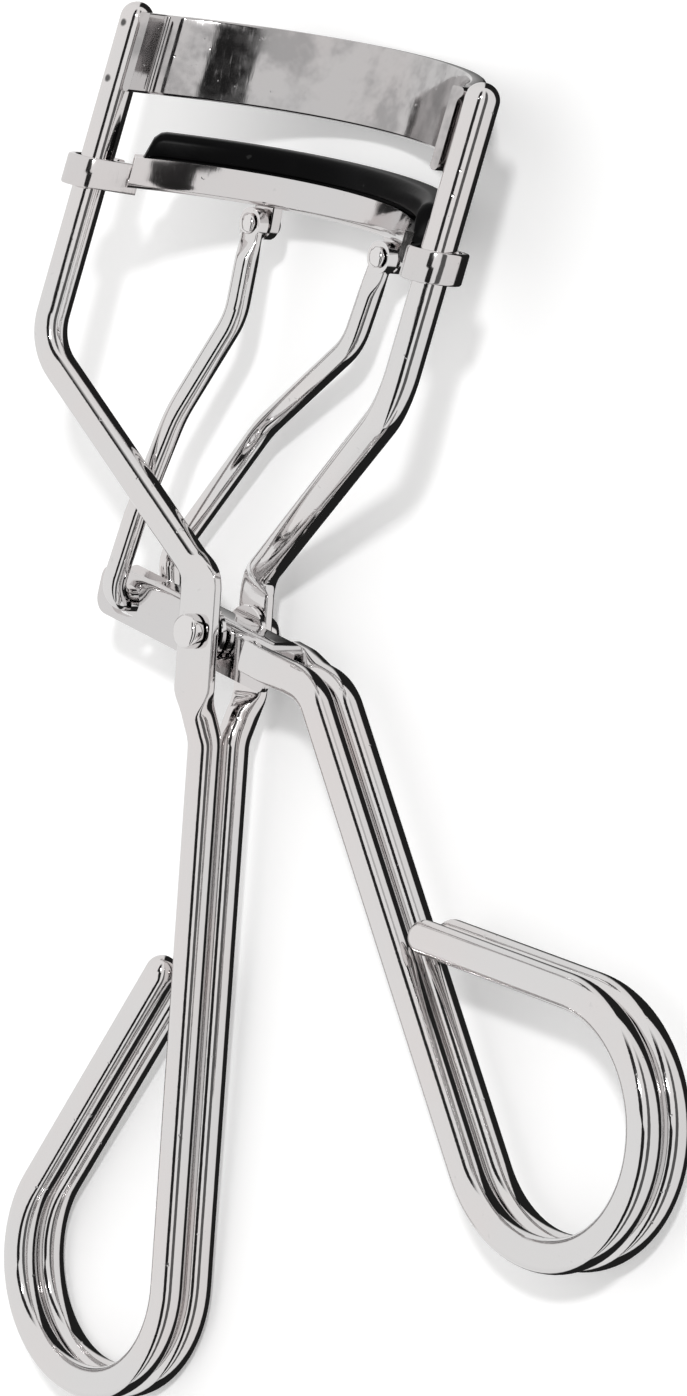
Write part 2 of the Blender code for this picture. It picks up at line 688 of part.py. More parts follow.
main()
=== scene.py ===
"""Eyelash curler: fine wires, strips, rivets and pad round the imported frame, with its stage.

The curler is drawn flat on a bench, in millimetres: the pivot rivet is the origin, its axis is Z, and +Y
points to the jaws. Each piece is then laid down with the frame, at the tilt of the lever's hinge.
"""

import json
import math

import bmesh
import bpy
from mathutils import Matrix, Vector


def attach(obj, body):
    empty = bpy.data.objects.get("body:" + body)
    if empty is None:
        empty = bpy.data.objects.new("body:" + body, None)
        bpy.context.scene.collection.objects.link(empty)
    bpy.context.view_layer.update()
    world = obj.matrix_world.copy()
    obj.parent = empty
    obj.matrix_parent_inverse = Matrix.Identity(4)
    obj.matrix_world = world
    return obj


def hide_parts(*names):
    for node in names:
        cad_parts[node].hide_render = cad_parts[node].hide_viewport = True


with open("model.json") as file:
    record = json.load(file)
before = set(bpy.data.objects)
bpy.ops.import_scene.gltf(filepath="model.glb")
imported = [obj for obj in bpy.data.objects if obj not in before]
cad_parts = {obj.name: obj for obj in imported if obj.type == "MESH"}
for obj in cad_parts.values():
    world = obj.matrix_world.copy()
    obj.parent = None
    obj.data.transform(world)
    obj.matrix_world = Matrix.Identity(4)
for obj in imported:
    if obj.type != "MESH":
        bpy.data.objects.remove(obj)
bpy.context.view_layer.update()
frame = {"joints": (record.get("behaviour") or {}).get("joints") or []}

bl_info = {
    "name": "Eyelash Curler",
    "version": (1, 0, 0),
    "blender": (4, 5, 0),
    "location": "3D View > Sidebar > Curler",
    "description": "Builds an eyelash curler from bent wire, pressed strip and a silicone pad",
    "category": "Add Mesh",
}

MM = 0.001
HINGE = next(joint for joint in frame["joints"] if joint["name"] == "lever_hinge")
PIVOT = Vector(HINGE["pos_m"])
PITCH = math.atan2(HINGE["axis"][1], -HINGE["axis"][2])
LAID_DOWN = Matrix.Translation(PIVOT) @ Matrix.Rotation(PITCH, 4, "X")

WIRE_SIDES = 36
TURNED_SIDES = 48
PIN_SIDES = 32
BEND_STEP = math.radians(4)
SMALL_BEND_STEP = math.radians(6)
TAB_BEND_STEP = math.radians(8)
DOME_STEPS = 10
STRIP_STEPS = 96
RAIL_STEPS = 80
RING_STEPS = 56
WIRE_RUN = 0.25
EYE_RUN = 0.3
SHARP_ANGLE = math.radians(38)

# Guides, legs and ears, millimetres on the bench
GUIDE_CENTRE_X = 1.5
GUIDE_TILT = math.radians(8.6)
GUIDE_DIR = Vector((0, math.cos(GUIDE_TILT), -math.sin(GUIDE_TILT)))
RING_LEVEL_Y = 29.7
RING_LEVEL_Z = 4.8
GUIDE_TIP = 12.5
LEFT_BEND = -12.8
RIGHT_BEND = -9.7
BEND_R = 4.5
EAR_Z = 2.6
EAR_UP = (3.4, 5.0)
EAR_DOWN = (4.0, 5.9)
EAR_TOP = 3.9
EAR_TOP_R = 2.6
EAR_BOTTOM = -4.4
EAR_BOTTOM_R = 2.0
PAIR_TOP = -7.6
PAIR_TOP_R = 3.0
FLAT_ROUNDNESS = 0.3

# Handles and finger loops
LEFT_HANDLE_ANGLE = math.radians(8.5)
LEFT_LOOP_AT = 46.8
LEFT_LOOP_END = 24.2
RIGHT_HANDLE_ANGLE = math.radians(40.3)
RIGHT_LOOP_AT = 35.9
RIGHT_LOOP_END = 19.8
LOOP_END_GAP = 0.3
LOOP_END_SHORT = 0.5
KNEE = Vector((11.46, -1.4, 0))
KNEE_R = 3.6

# Lever channel and its wires' flattened ends
CHANNEL_W = 2.9
CHANNEL_T = 0.6
CHANNEL_ANGLE = math.radians(-4.5)
CHANNEL_LEFT = -13.0
CHANNEL_RIGHT = 6.6
WEB_LEFT = -8.2
CHANNEL_TOP = 1.25
CHANNEL_BOTTOM = -2.45
CHANNEL_BEND_R = 0.75
CHANNEL_END_R = 1.2
CHANNEL_CORNER_R = 0.5
CHANNEL_EDGE = 0.08
SLOT_CLEAR = 0.3
CUT_PAST = 1.0
LEVER_WIRE_START = 5.0
LEVER_FLAT_RISE = 0.9
LEVER_FLAT_R = 2.0
LEVER_PAIR_R = 1.2
LEVER_PAIR_X = 9.2
LEVER_FLAT = (2.3, 1.0)
LEVER_FLAT_Z = 2.1
LEVER_FLAT_FROM = 5.6
LEVER_ROUND_FROM = 8.9

# Rivet and washers
RIVET_D = 1.7
RIVET_HEAD_D = 2.5
RIVET_HEAD_H = 1.0
RIVET_FACE_Z = 3.15
RIVET_CLEAR = 0.2
WASHER_D = 4.0
WASHER_T = 0.45
WASHER_Z = 1.825
WASHER_EDGE = 0.08

# Jaws
STRIP_BOTTOM = 6.8
STRIP_TOP = 12.6
RIM_H = 0.7
RIM_PROUD = 0.35
SAGITTA = 9.0
END_DROP = 0.65
HALF_CHORD = 16.6
TAB_FRONT = 0.9
TAB_BACK = 0.9
TAB_GAP = 0.3
TAB_CORNER = 1.1
TAB_BEND_R = 0.9
STRIP_EDGE = 0.06
WELDS_AT = (10.9, 6.8)
# Reach of the painted shade at each weld dimple
WELD_SHADE_REACH = 0.36
WELD_OFFSET = Vector((0.1, 0, 1.2))
ARC_R = (HALF_CHORD ** 2 + SAGITTA ** 2) / (2 * SAGITTA)
ARC_END_Z = math.sqrt(ARC_R ** 2 - HALF_CHORD ** 2)
RAIL_W = 3.0
RAIL_H = 2.3
RAIL_T = 0.6
RAIL_BEND_R = 0.75
RAIL_INNER_R = 0.2
RAIL_HALF_CHORD = 15.9
PAD_FIT = 0.12
PAD_RISE = 1.9
PAD_INSET = 0.6
PAD_OVERHANG = 0.25
PAD_CROWN_R = 0.7
PAD_ROUND_END = 1.1
RING_CLEAR = 0.3
RING_T = 0.6
RING_H = 2.2
RING_EDGE_R = 0.16

# Pusher, lugs and pins
PUSHER_ARM = 9.9
PUSHER_BEND_R = 1.5
PUSHER_SIDE_GAP = 0.65
EYE_D = 2.3
EYE_T = 0.8
EYE_GAP = 0.3
# The pusher's ends: width against the eye's, roundness, where they are flat and how soon they are round
EYE_NECK = 0.8
EYE_ROUNDNESS = 0.5
EYE_FLAT = (1.2, 1.6)
EYE_FINE = 4.0
LUG_T = 0.9
LUG_W = 2.1
LUG_DROP = 1.3
LUG_EDGE = 0.08
LEFT_LUG_X = -7.5
RIGHT_LUG_X = 5.9
SLOT_PLAY = 0.5
PIN_R = 0.45
PIN_HEAD_R = 0.75
PIN_PAST = 0.15


class CurlerSizes(bpy.types.PropertyGroup):
    """Sizes that a user would change"""

    wire: bpy.props.FloatProperty(
        name="Wire", description="Diameter of the frame and handle wire", default=0.0024, unit="LENGTH")
    pair_gap: bpy.props.FloatProperty(
        name="Pair gap", description="Gap between the two wires of a handle", default=0.00015, unit="LENGTH")
    guide_spacing: bpy.props.FloatProperty(
        name="Guide spacing", description="Between the centre lines of the guides", default=0.0372,
        unit="LENGTH")
    front_ear: bpy.props.FloatProperty(
        name="Front ear", description="Width of the front wire's flattened ear", default=0.0038,
        unit="LENGTH")
    back_ear: bpy.props.FloatProperty(
        name="Back ear", description="Width of the back wire's flattened ear", default=0.0031, unit="LENGTH")
    ear_thickness: bpy.props.FloatProperty(
        name="Ear thickness", description="Thickness of the flattened ears", default=0.0008, unit="LENGTH")
    left_loop: bpy.props.FloatProperty(
        name="Left loop", description="Centre-line radius of the frame's finger loop", default=0.0085,
        unit="LENGTH")
    right_loop: bpy.props.FloatProperty(
        name="Right loop", description="Centre-line radius of the lever's finger loop", default=0.0088,
        unit="LENGTH")
    strip: bpy.props.FloatProperty(
        name="Strip", description="Thickness of the upper jaw's strip", default=0.0008, unit="LENGTH")
    pusher: bpy.props.FloatProperty(
        name="Pusher wire", description="Diameter of the pusher wire", default=0.0017, unit="LENGTH")


class CurlerFinish(bpy.types.PropertyGroup):
    """Colours and gloss that a user would change"""

    chrome: bpy.props.FloatVectorProperty(
        name="Chrome", description="Colour of the plated wire", default=(0.76, 0.752, 0.752),
        subtype="COLOR", size=3, min=0, max=1)
    jaw: bpy.props.FloatVectorProperty(
        name="Jaw", description="Colour of the upper jaw's strip", default=(0.57, 0.56, 0.562),
        subtype="COLOR", size=3, min=0, max=1)
    sheet: bpy.props.FloatVectorProperty(
        name="Sheet", description="Colour of the plated strips", default=(0.70, 0.69, 0.692),
        subtype="COLOR", size=3, min=0, max=1)
    bright: bpy.props.FloatVectorProperty(
        name="Rivets", description="Colour of the rivets and washers", default=(0.80, 0.79, 0.79),
        subtype="COLOR", size=3, min=0, max=1)
    pad: bpy.props.FloatVectorProperty(
        name="Pad", description="Colour of the silicone", default=(0.0012, 0.0012, 0.0014),
        subtype="COLOR", size=3, min=0, max=1)
    gloss: bpy.props.FloatProperty(
        name="Roughness", description="Roughness of the polished plating", default=0.045,
        subtype="FACTOR", min=0, max=1)
    floor: bpy.props.FloatVectorProperty(
        name="Floor", description="Colour of the floor", default=(0.9, 0.9, 0.9),
        subtype="COLOR", size=3, min=0, max=1)


def size(name):
    """A size from the panel, in millimetres."""
    return getattr(bpy.context.scene.curler_sizes, name) / MM


def finish_of(name):
    return getattr(bpy.context.scene.curler_finish, name)


# Shader expressions -------------------------------------------------------------------------------------
class Wire:
    """A shader socket that can be used in arithmetic."""

    def __init__(self, tree, socket):
        self.tree = tree
        self.socket = socket

    def node(self, kind, values=None, out=0, **settings):
        """Adds a node of a type, sets it up, links or sets its sockets and wraps one output."""
        made = self.tree.nodes.new(kind)
        for name, value in settings.items():
            setattr(made, name, value)
        for key, value in (values or {}).items():
            if isinstance(value, Wire):
                self.tree.links.new(value.socket, made.inputs[key])
            else:
                made.inputs[key].default_value = value
        return Wire(self.tree, made.outputs[out])

    def math(self, operation, *values):
        return self.node("ShaderNodeMath", dict(enumerate(values)), operation=operation)

    def __add__(self, other):
        return self.math("ADD", self, other)

    def __sub__(self, other):
        return self.math("SUBTRACT", self, other)

    def __mul__(self, other):
        return self.math("MULTIPLY", self, other)

    def __rsub__(self, other):
        return self.math("SUBTRACT", other, self)

    __radd__ = __add__
    __rmul__ = __mul__

    def smooth(self, low, high):
        """Rises smoothly from 0 at low to 1 at high."""
        return self.node("ShaderNodeMapRange", {"Value": self, "From Min": low, "From Max": high},
                         interpolation_type="SMOOTHSTEP")

    def tint(self, other, factor):
        """This colour mixed towards another."""
        return self.node("ShaderNodeMix", {0: factor, 6: self, 7: other}, out=2, data_type="RGBA")


def new_material(name):
    """A material, a wire that adds nodes to its tree, and its shader."""
    mat = bpy.data.materials.new(name)
    mat.use_nodes = True
    shader = mat.node_tree.nodes["Principled BSDF"]
    return mat, Wire(mat.node_tree, None), shader


def grain(root, where, scale, detail=3.0, roughness=0.5):
    """Noise with a number of grains to the metre."""
    return root.node("ShaderNodeTexNoise",
                     {"Vector": where, "Scale": scale, "Detail": detail, "Roughness": roughness})


def varied(mat, shader, base, gloss, bump):
    """Feeds what varies over a surface to its shader."""
    for wire, name in ((base, "Base Color"), (gloss, "Roughness"), (bump, "Normal")):
        mat.node_tree.links.new(wire.socket, shader.inputs[name])


def plated(name, colour, roughness, ripple, scratches, shaded_pits=(), smudge=0.0):
    """Polished nickel-chrome plating: wavy where it was drawn or pressed, with fine hairlines and dust, and
    painted shade at any weld dimples given.
    """
    mat, root, shader = new_material(name)
    where = root.node("ShaderNodeTexCoord", out="Object")
    along = root.node("ShaderNodeMapping", {"Vector": where, "Scale": (1.0, 0.12, 1.0)})
    waves = grain(root, where, 260.0, 2.0)
    hairs = grain(root, along, 5200.0, 2.0, 0.6)
    haze = grain(root, where, 90.0, 3.0)
    specks = grain(root, where, 1500.0, 2.0).smooth(0.70, 0.76)
    shade = haze.smooth(0.35, 0.75)
    tone = root.node("ShaderNodeRGB")
    tone.socket.default_value = (*colour, 1)
    warm = (min(1, colour[0] * 1.03), colour[1] * 0.985, colour[2] * 0.975, 1)
    dull = tuple(c * 0.86 for c in colour) + (1,)
    base = tone.tint(warm, shade * 0.8).tint(dull, specks * 0.35)
    gloss = haze.smooth(0.3, 0.8) * 0.035 + roughness
    gloss = gloss + hairs.smooth(0.55, 0.8) * scratches + specks * 0.12
    height = waves * ripple + hairs * 0.012 - specks * 0.05
    if smudge:
        cloud = grain(root, where, 190.0, 4.0, 0.6).smooth(0.44, 0.62)
        base = base.tint(tuple(c * 0.55 for c in colour) + (1,), cloud * smudge)
        gloss = gloss + cloud * 0.10
    # Painted shade: a near-black spot at each weld dimple stands in for the pit's shade, with a real dent in
    # the bump and rougher gloss
    for place, reach in shaded_pits:
        away = root.node("ShaderNodeVectorMath", {0: where, 1: place}, out="Value", operation="DISTANCE")
        pit_shade = 1 - away.smooth(reach * 0.45, reach)
        base = base.tint((0.05, 0.05, 0.05, 1), pit_shade * 0.9)
        gloss = gloss + pit_shade * 0.3
        height = height - pit_shade * 1.2
    bump = root.node("ShaderNodeBump", {"Height": height, "Strength": 0.35, "Distance": 0.00035})
    shader.inputs["Metallic"].default_value = 1.0
    varied(mat, shader, base, gloss, bump)
    return mat


def silicone(name, colour):
    """Moulded silicone: satin black with a fine orange-peel and a little lint."""
    mat, root, shader = new_material(name)
    where = root.node("ShaderNodeTexCoord", out="Object")
    peel = grain(root, where, 2400.0, 3.0)
    cloudy = grain(root, where, 220.0, 2.0)
    lint = grain(root, where, 1300.0, 1.0).smooth(0.74, 0.80)
    tone = root.node("ShaderNodeRGB")
    tone.socket.default_value = (*colour, 1)
    base = tone.tint((0.004, 0.004, 0.0044, 1), cloudy.smooth(0.4, 0.8))
    base = base.tint((0.03, 0.03, 0.03, 1), lint * 0.5)
    gloss = cloudy * 0.16 + 0.26 + lint * 0.3
    bump = root.node("ShaderNodeBump", {"Height": peel + lint * 0.5, "Strength": 0.25, "Distance": 0.00004})
    shader.inputs["Specular IOR Level"].default_value = 0.05
    varied(mat, shader, base, gloss, bump)
    return mat


def shared_material(name):
    """The material of one of the curler's finishes, made when it is first asked for."""
    if name in bpy.data.materials:
        return bpy.data.materials[name]
    gloss = finish_of("gloss")
    if name == "polished_wire":
        return plated(name, tuple(finish_of("chrome")), gloss, 0.10, 0.05)
    if name == "welded_wire":
        # Painted shade at the front wire's weld dimples
        shaded_pits = [((on_guide(-1, along) + WELD_OFFSET) * MM, WELD_SHADE_REACH * MM) for along in WELDS_AT]
        return plated(name, tuple(finish_of("chrome")), gloss, 0.10, 0.05, shaded_pits)
    if name == "jaw_strip":
        return plated(name, tuple(finish_of("jaw")), gloss, 0.20, 0.08, smudge=0.7)
    if name == "polished_strip":
        return plated(name, tuple(finish_of("sheet")), gloss + 0.015, 0.30, 0.07)
    if name == "bright_rivet":
        return plated(name, tuple(finish_of("bright")), gloss, 0.12, 0.04)
    return silicone(name, tuple(finish_of("pad")))


# Mesh helpers -------------------------------------------------------------------------------------------
def lofted(rings):
    """A closed mesh through equal rings of points, in millimetres on the bench."""
    bm = bmesh.new()
    rows = [[bm.verts.new(Vector(p) * MM) for p in ring] for ring in rings]
    count = len(rings[0])
    for a, b in zip(rows, rows[1:]):
        for k in range(count):
            n = (k + 1) % count
            bm.faces.new((a[k], a[n], b[n], b[k]))
    bm.faces.new(rows[0])
    bm.faces.new(rows[-1])
    bmesh.ops.recalc_face_normals(bm, faces=bm.faces[:])
    mesh = bpy.data.meshes.new("loft")
    bm.to_mesh(mesh)
    bm.free()
    return mesh


def placed(name, mesh, finish, body, node):
    """A piece laid down with the frame, riding on a body and standing for its CAD node."""
    obj = bpy.data.objects.new(name, mesh)
    mesh.name = name
    bpy.context.scene.collection.objects.link(obj)
    obj.matrix_world = LAID_DOWN
    mesh.materials.append(shared_material(finish))
    mesh.shade_smooth()
    mesh.set_sharp_from_angle(angle=SHARP_ANGLE)
    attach(obj, body)
    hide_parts(node)
    return obj


def shaped(mesh, operation, *tools):
    """A mesh after Boolean cuts, joins or an intersection with other meshes, which are used up."""
    obj = bpy.data.objects.new("work", mesh)
    bpy.context.scene.collection.objects.link(obj)
    helpers = []
    for tool in tools:
        helper = bpy.data.objects.new("tool", tool)
        bpy.context.scene.collection.objects.link(helper)
        mod = obj.modifiers.new("shape", "BOOLEAN")
        mod.operation = operation
        mod.solver = "EXACT"
        mod.object = helper
        helpers.append(helper)
    bpy.context.view_layer.update()
    done = bpy.data.meshes.new_from_object(obj.evaluated_get(bpy.context.evaluated_depsgraph_get()))
    for used in [obj] + helpers:
        bpy.data.objects.remove(used)
    done.materials.clear()
    return done


def soften(obj, width):
    """Breaks an object's sharp edges with a small bevel."""
    mod = obj.modifiers.new("broken_edges", "BEVEL")
    mod.width = width * MM
    mod.segments = 2
    mod.limit_method = "ANGLE"
    mod.angle_limit = SHARP_ANGLE


def filleted(points, radii, step=BEND_STEP):
    """A path of straight runs with round corners, one radius for each inner point."""
    points = [Vector(p) for p in points]
    path = [points[0]]
    for i, radius in enumerate(radii, start=1):
        before = (points[i - 1] - points[i]).normalized()
        after = (points[i + 1] - points[i]).normalized()
        turn = math.pi - before.angle(after)
        reach = radius * math.tan(turn / 2)
        centre = points[i] + (before + after).normalized() * (radius / math.cos(turn / 2))
        spoke = points[i] + before * reach - centre
        axis = spoke.cross(-before)
        steps = max(3, math.ceil(turn / step))
        path += [centre + Matrix.Rotation(turn * k / steps, 3, axis) @ spoke for k in range(steps + 1)]
    path.append(points[-1])
    return path


def divided(path, longest, wanted):
    """The same path, with runs no longer than a length wherever wanted(point) holds."""
    out = [path[0]]
    for a, b in zip(path, path[1:]):
        near = wanted(a) or wanted(b) or wanted(a.lerp(b, 0.5))
        pieces = max(1, math.ceil((b - a).length / longest)) if near else 1
        out += [a.lerp(b, k / pieces) for k in range(1, pieces + 1)]
    return out


def tangents(path):
    last = len(path) - 1
    return [(path[min(last, i + 1)] - path[max(0, i - 1)]).normalized() for i in range(len(path))]


def flat_normals(path):
    """The thickness axis at each point, as near to Z as the path allows."""
    return [(Vector((0, 0, 1)) - t * t.z).normalized() for t in tangents(path)]


def level_normals(path):
    """The sideways axis at each point of a strip bent in the X and Z plane."""
    level = [Vector((p.x, 0, p.z)) for p in path]
    return [Vector((t.z, 0, -t.x)) for t in tangents(level)]


def carried_normals(path):
    """Thickness axes that turn with the path, near Z at both of its ends."""
    ts = tangents(path)
    flat = flat_normals(path)
    normals = [flat[0]]
    for a, b in zip(ts, ts[1:]):
        normals.append((a.rotation_difference(b) @ normals[-1]).normalized())
    twist = math.atan2(ts[-1].dot(normals[-1].cross(flat[-1])), normals[-1].dot(flat[-1]))
    if abs(twist) > math.pi / 2:
        twist -= math.copysign(math.pi, twist)
    last = len(path) - 1
    return [Matrix.Rotation(twist * i / last, 3, t) @ n for i, (t, n) in enumerate(zip(ts, normals))]


def swept(path, normals, sections, domed=True):
    """A wire along a path; sections gives width, thickness and roundness (1 is an ellipse) at each point."""
    ts = tangents(path)
    rings = []
    for p, t, n, (width, thickness, power) in zip(path, ts, normals, sections):
        side = t.cross(n)
        ring = []
        for k in range(WIRE_SIDES):
            a = 2 * math.pi * (k + 0.5) / WIRE_SIDES
            x = math.copysign(abs(math.cos(a)) ** power, math.cos(a)) * width / 2
            z = math.copysign(abs(math.sin(a)) ** power, math.sin(a)) * thickness / 2
            ring.append(p + side * x + n * z)
        rings.append(ring)

    def dome(ring, centre, outward, reach):
        grown = []
        for k in range(1, DOME_STEPS):
            a = math.pi / 2 * k / DOME_STEPS
            rise = outward * (math.sin(a) * reach)
            grown.append([centre + (q - centre) * math.cos(a) + rise for q in ring])
        return grown

    if domed:
        start = dome(rings[0], path[0], -ts[0], sections[0][1] / 2)
        rings = start[::-1] + rings + dome(rings[-1], path[-1], ts[-1], sections[-1][1] / 2)
    return lofted(rings)


def eased(a, b, t):
    """From a at t = 0 to b at t = 1, starting and stopping gently."""
    t = min(1, max(0, t))
    t = t * t * (3 - 2 * t)
    return a + (b - a) * t


def disc(centre, radius, length):
    """A round blank along Z, for a hole or an eye."""
    return turned([(radius, -length / 2), (radius, length / 2)], centre)


def turned(profile, centre, sides=TURNED_SIDES):
    """A solid of revolution about Z through centre, from (radius, z) pairs."""
    around = [2 * math.pi * k / sides for k in range(sides)]
    centre = Vector(centre)
    return lofted([[centre + Vector((radius * math.cos(a), radius * math.sin(a), z)) for a in around]
                   for radius, z in profile])


def arc2(u, v, radius, start, stop, steps):
    """Points on an arc in a plane, from start to stop in degrees."""
    turns = [math.radians(start + (stop - start) * k / steps) for k in range(steps + 1)]
    return [(u + radius * math.cos(a), v + radius * math.sin(a)) for a in turns]


def rounded_box(width, height, radius, steps):
    """The outline of a rectangle with round corners, about its centre."""
    u = width / 2 - radius
    v = height / 2 - radius
    corners = ((u, v, 0), (-u, v, 90), (-u, -v, 180), (u, -v, 270))
    return [point for x, y, start in corners for point in arc2(x, y, radius, start, start + 90, steps)]


def stood_up(outline, low, high, turn=Matrix.Identity(3)):
    """A prism along Z between two heights, from an outline of (x, y), turned."""
    return lofted([[turn @ Vector((x, y, z)) for x, y in outline] for z in (low, high)])


# Shared places ------------------------------------------------------------------------------------------
def on_guide(side, along):
    """A point on the left (-1) or right (1) guide's centre line, measured up from the rings."""
    base = Vector((GUIDE_CENTRE_X + side * size("guide_spacing") / 2, RING_LEVEL_Y, RING_LEVEL_Z))
    return base + GUIDE_DIR * along


def arc_point(angle, along, out=0.0):
    """A point on the jaws' arc: angle from its middle, height along the guides, distance outwards."""
    radius = ARC_R + out
    lower = END_DROP * (1 - (ARC_R * math.cos(angle) - ARC_END_Z) / SAGITTA)
    centre = (on_guide(-1, along) + on_guide(1, along)) / 2
    return centre + Vector((radius * math.sin(angle), -lower, ARC_END_Z - radius * math.cos(angle)))


def arc_angle(x):
    """The angle on the jaws' arc at a distance from its middle."""
    return math.asin(x / ARC_R)


def loop_path(start, angle, side, radius, loop_at, loop_end, z):
    """A finger loop: from the handle's straight round the circle and back to the handle's flank."""
    down = Vector((math.sin(angle), -math.cos(angle), 0))
    out = Vector((math.cos(angle), math.sin(angle), 0)) * side
    centre = start + down * loop_at + out * radius
    centre.z = z
    flank = size("wire") + LOOP_END_GAP
    reach = loop_at - loop_end
    rise = radius - flank
    turn = math.pi + math.atan2(rise, reach) + math.asin(radius / math.hypot(reach, rise))
    steps = math.ceil(turn / BEND_STEP)
    path = []
    for k in range(steps + 1):
        t = turn * k / steps
        path.append(centre - out * (radius * math.cos(t)) + down * (radius * math.sin(t)))
    end = start + down * loop_end + out * flank
    end.z = z
    path.append(end - (end - path[-1]).normalized() * LOOP_END_SHORT)
    return path


def left_handle_point(y, z):
    """A point on the left handle's line through the pivot."""
    return Vector((-y * math.tan(LEFT_HANDLE_ANGLE), y, z))


def pair_z():
    """How far the two wires of a handle lie from the middle plane."""
    return (size("wire") + size("pair_gap")) / 2


def lug_centre(x):
    return arc_point(arc_angle(x), -LUG_DROP)


# Pieces -------------------------------------------------------------------------------------------------
def leg_wire(name, side, depth, bend, ear, node, finish):
    """One frame wire: guide, leg, flattened ear, handle and finger loop."""
    z = depth * pair_z()
    corners = [
        on_guide(side, GUIDE_TIP - size("wire") / 2),
        on_guide(side, bend),
        left_handle_point(EAR_TOP, depth * EAR_Z),
        left_handle_point(EAR_BOTTOM, depth * EAR_Z),
        left_handle_point(PAIR_TOP, z),
    ]
    loop = loop_path(Vector(), LEFT_HANDLE_ANGLE, -1, size("left_loop"), LEFT_LOOP_AT,
                     LEFT_LOOP_END, z)
    path = filleted(corners + [loop[0]], [BEND_R, EAR_TOP_R, EAR_BOTTOM_R, PAIR_TOP_R])
    path = divided(path, WIRE_RUN, lambda p: p.xy.length < EAR_DOWN[1] + 1) + loop[1:]
    sections = []
    for p in path:
        flat, round_again = EAR_UP if p.y > 0 else EAR_DOWN
        t = (p.xy.length - flat) / (round_again - flat)
        sections.append((eased(size(ear), size("wire"), t), eased(size("ear_thickness"), size("wire"), t),
                         eased(FLAT_ROUNDNESS, 1, t)))
    placed(name, swept(path, flat_normals(path), sections), finish, "frame", node)


def strip_line():
    """The upper jaw's line seen along the guides: a tab, the arc and the other tab, with its normals."""
    x_tab = size("guide_spacing") / 2 - size("wire") / 2 - TAB_GAP - size("strip") / 2
    half = arc_angle(x_tab - TAB_CORNER)
    points = []
    for side in (-1, 1):
        x = GUIDE_CENTRE_X + side * x_tab
        level = on_guide(side, 0).z
        points.append([Vector((x, RING_LEVEL_Y - END_DROP, level + TAB_FRONT)),
                       Vector((x, RING_LEVEL_Y - END_DROP, level - TAB_BACK * 1.35))])
    arc = [arc_point(half * (2 * k / STRIP_STEPS - 1), 0) for k in range(STRIP_STEPS + 1)]
    left = filleted([points[0][0], points[0][1], arc[0]], [TAB_BEND_R], TAB_BEND_STEP)
    right = filleted([arc[-1], points[1][1], points[1][0]], [TAB_BEND_R], TAB_BEND_STEP)
    line = left[:-1] + arc + right[1:]
    return line, level_normals(line)


def upper_strip():
    """The upper jaw: a thin strip with round edges and a rolled rim along its top."""
    line, normals = strip_line()
    half = size("strip") / 2
    rim = half + RIM_PROUD
    profile = [(-half, STRIP_BOTTOM + 0.2)]
    profile += arc2(0, STRIP_BOTTOM + half, half, 200, 340, 6)
    rim_foot = STRIP_TOP - RIM_H
    profile += [(half, STRIP_BOTTOM + 1.0), (half, rim_foot - 0.5), (half + 0.05, rim_foot - 0.2)]
    profile += arc2(rim - 0.3, STRIP_TOP - 0.38, 0.36, -60, 90, 8)
    profile += arc2(-half + 0.15, STRIP_TOP - 0.17, 0.15, 90, 180, 4)
    profile += [(-half, rim_foot), (-half, STRIP_BOTTOM + 1.0)]
    rings = [[p + n * u + GUIDE_DIR * v for u, v in profile] for p, n in zip(line, normals)]
    soften(placed("upper_jaw_strip", lofted(rings), "jaw_strip", "frame", "upper_jaw"), STRIP_EDGE)


def rivet_shape():
    """The pivot's outline: a shaft and two heads with flat tops and eased edges."""
    shaft, head = RIVET_D / 2, RIVET_HEAD_D / 2
    top = RIVET_FACE_Z + RIVET_HEAD_H
    front = [(head * 0.05, top), (head * 0.6, top), (head * 0.74, top - 0.04), (head * 0.88, top - 0.16),
             (head * 0.97, top - 0.36), (head, top - 0.55), (head, RIVET_FACE_Z), (shaft, RIVET_FACE_Z)]
    return front + [(r, -z) for r, z in reversed(front)]


